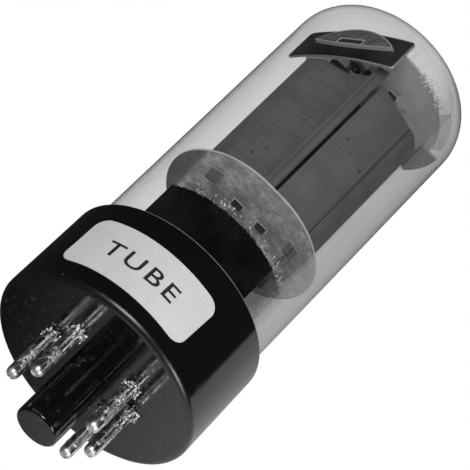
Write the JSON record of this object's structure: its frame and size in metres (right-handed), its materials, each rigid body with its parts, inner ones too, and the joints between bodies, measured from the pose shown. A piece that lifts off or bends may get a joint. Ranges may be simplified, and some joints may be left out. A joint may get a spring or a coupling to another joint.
{
  "type": "vacuum tube",
  "caption": "Beam power vacuum tube: straight glass bulb over a micaed electrode cage, on a black eight-position keyed plug-in base with tubular contact pins.",
  "frame": {"origin": "centre of the base's bottom face, on the tube's axis", "axes": "+Z along the tube's axis, from the base towards the bulb's crown; the front seam of the anode faces -Y; the pins and the key post reach below z = 0"},
  "size_m": [0.0392, 0.0393, 0.1028],
  "materials": {
    "moulded_base": "moulded, glossy black",
    "cement": "dull basing cement",
    "pin_plate": "nickel-plated and tinned, worn",
    "solder": null,
    "label_paper": "light grey satin label",
    "bulb_glass": "clear",
    "stem_glass": "clear, pressed",
    "lead_wire": "drawn nickel wire",
    "mica": null,
    "anode_sheet": "grey carbonised nickel sheet",
    "dark_sheet": "dark carbonised sheet",
    "grid_wire": "fine drawn wire",
    "copper_rod": null,
    "cathode_nickel": "satin nickel",
    "oxide": "white oxide coating",
    "getter_metal": "pressed sheet, fired",
    "getter_dark": null
  },
  "bodies": {
    "root": {"base_shell": "moulded_base", "base_cement": "cement", "pin_2": "pin_plate", "pin_3": "pin_plate", "pin_4": "pin_plate", "pin_5": "pin_plate", "pin_7": "pin_plate", "pin_8": "pin_plate", "pin_solder": "solder", "label": "label_paper", "bulb": "bulb_glass", "button_stem": "stem_glass", "exhaust_tip": "stem_glass", "lead_2": "lead_wire", "lead_3": "lead_wire", "lead_4": "lead_wire", "lead_5": "lead_wire", "lead_7": "lead_wire", "lead_8": "lead_wire", "lower_mica": "mica", "upper_mica": "mica", "bulb_spacers": "mica", "anode_left": "anode_sheet", "anode_right": "anode_sheet", "anode_straps": "anode_sheet", "beam_plate_left": "dark_sheet", "beam_plate_right": "dark_sheet", "screen_grid_rods": "grid_wire", "screen_grid_winding": "grid_wire", "control_grid_rods": "copper_rod", "control_grid_winding": "grid_wire", "cathode_sleeve": "cathode_nickel", "cathode_coating": "oxide", "heater": "oxide", "getter_shield": "dark_sheet", "getter_pan": "getter_metal", "getter_charge": "getter_dark", "getter_strap": "cathode_nickel", "getter_eyelet": "pin_plate", "getter_film": "getter_dark"}
  },
  "joints": []
}
